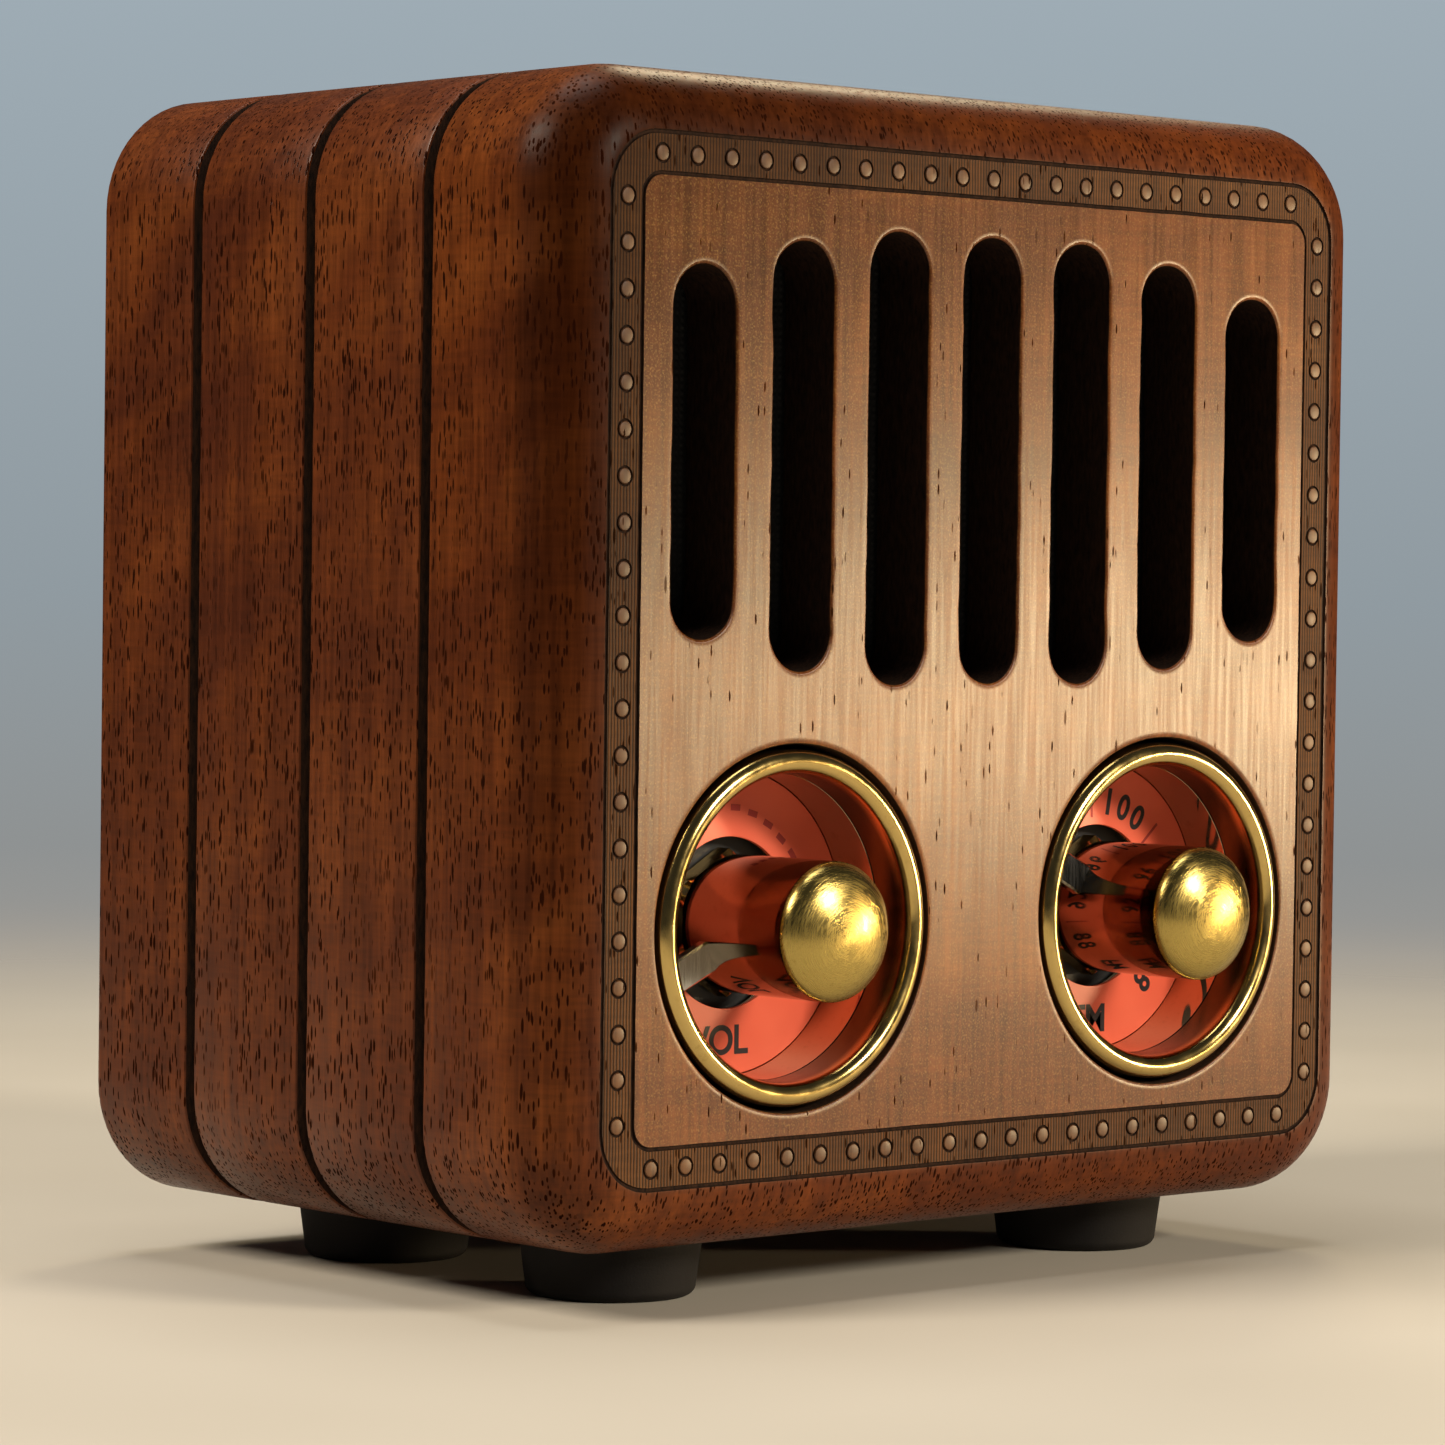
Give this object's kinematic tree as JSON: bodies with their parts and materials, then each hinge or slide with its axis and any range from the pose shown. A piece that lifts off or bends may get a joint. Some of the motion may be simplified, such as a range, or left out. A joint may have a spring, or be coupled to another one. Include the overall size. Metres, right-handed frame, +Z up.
{
  "type": "miniature radio",
  "caption": "Small wooden cube radio with a slotted speaker front and two recessed dials with brass knobs, on rubber feet.",
  "frame": {"origin": "middle of the bounding box's bottom, level with the soles of the feet; the box includes the knobs in front", "axes": "+Z up, +Y from the front towards the back, +X to the right as the front is seen"},
  "size_m": [0.079, 0.0568, 0.0832],
  "materials": {
    "walnut_front": "satin oiled walnut, laser-marked border",
    "walnut_side": "semi-gloss oiled walnut",
    "case_screw": "turned",
    "foot_rubber": "matt moulded",
    "grille_cloth": "black woven",
    "black_plastic": "moulded",
    "brass_ring": "satin polished",
    "brass_cup": "polished",
    "dial_card": "printed, satin",
    "brass_knob": "polished side, finely scratched dome",
    "pointer_chrome": "polished",
    "steel": "plated",
    "nut_brass": "plated",
    "ferrite": "matt",
    "surround_rubber": "matt",
    "spider_cloth": "varnished cloth",
    "cone_paper": "pressed paper",
    "copper": "enamelled winding",
    "board": "solder mask",
    "shield_can": "tinned",
    "battery_foil": "foil pouch",
    "socket_shell": "plated",
    "lead_red": "insulated wire",
    "lead_black": "insulated wire"
  },
  "bodies": {
    "case": {"front_panel": "walnut_front", "case_frame_front": "walnut_side", "case_frame_rear": "walnut_side", "rear_cover": "walnut_side", "case_screw_1": "case_screw", "case_screw_2": "case_screw", "case_screw_3": "case_screw", "case_screw_4": "case_screw", "foot_front_left": "foot_rubber", "foot_front_right": "foot_rubber", "foot_rear_left": "foot_rubber", "foot_rear_right": "foot_rubber", "grille_cloth": "grille_cloth", "chassis_plate": "black_plastic", "volume_bezel": "brass_ring", "volume_dial_cup": "brass_cup", "volume_dial_card": "dial_card", "volume_pot_body": "steel", "volume_pot_nut": "nut_brass", "tuning_bezel": "brass_ring", "tuning_dial_cup": "brass_cup", "tuning_dial_card": "dial_card", "tuning_pot_body": "steel", "tuning_pot_nut": "nut_brass", "speaker_basket": "steel", "speaker_screw_1": "steel", "speaker_screw_2": "steel", "speaker_screw_3": "steel", "speaker_screw_4": "steel", "speaker_surround": "surround_rubber", "speaker_spider": "spider_cloth", "speaker_top_plate": "steel", "speaker_magnet": "ferrite", "speaker_yoke": "steel", "main_board": "board", "board_screw_1": "steel", "board_screw_2": "steel", "board_screw_3": "steel", "board_screw_4": "steel", "tuner_module": "shield_can", "amplifier_chip": "black_plastic", "battery_tray": "black_plastic", "battery_cell": "battery_foil", "charging_socket": "socket_shell", "charging_board": "board", "speaker_lead_red": "lead_red", "speaker_lead_black": "lead_black", "battery_lead_red": "lead_red", "battery_lead_black": "lead_black", "fm_antenna_wire": "lead_black"},
    "volume_control": {"volume_knob": "brass_knob", "volume_pointer": "pointer_chrome", "volume_pot_shaft": "steel"},
    "tuning_control": {"tuning_knob": "brass_knob", "tuning_pointer": "pointer_chrome", "tuning_pot_shaft": "steel"},
    "cone_assembly": {"speaker_cone": "cone_paper", "speaker_dust_cap": "cone_paper", "voice_coil": "copper"}
  },
  "joints": [
    {"name": "volume_turn", "type": "hinge", "parent": "case", "child": "volume_control", "pos_m": [-0.0179, -0.0226, 0.0257], "axis": [0, 1, 0], "range_deg": [-20, 250]},
    {"name": "tuning_turn", "type": "hinge", "parent": "case", "child": "tuning_control", "pos_m": [0.0179, -0.0226, 0.0257], "axis": [0, 1, 0], "range_deg": [-72, 198]},
    {"name": "cone_travel", "type": "slide", "parent": "case", "child": "cone_assembly", "axis": [0, -1, 0], "range_m": [-0.001, 0.001], "stiffness_N_per_m": 900, "deforming": ["speaker_surround", "speaker_spider"]}
  ]
}
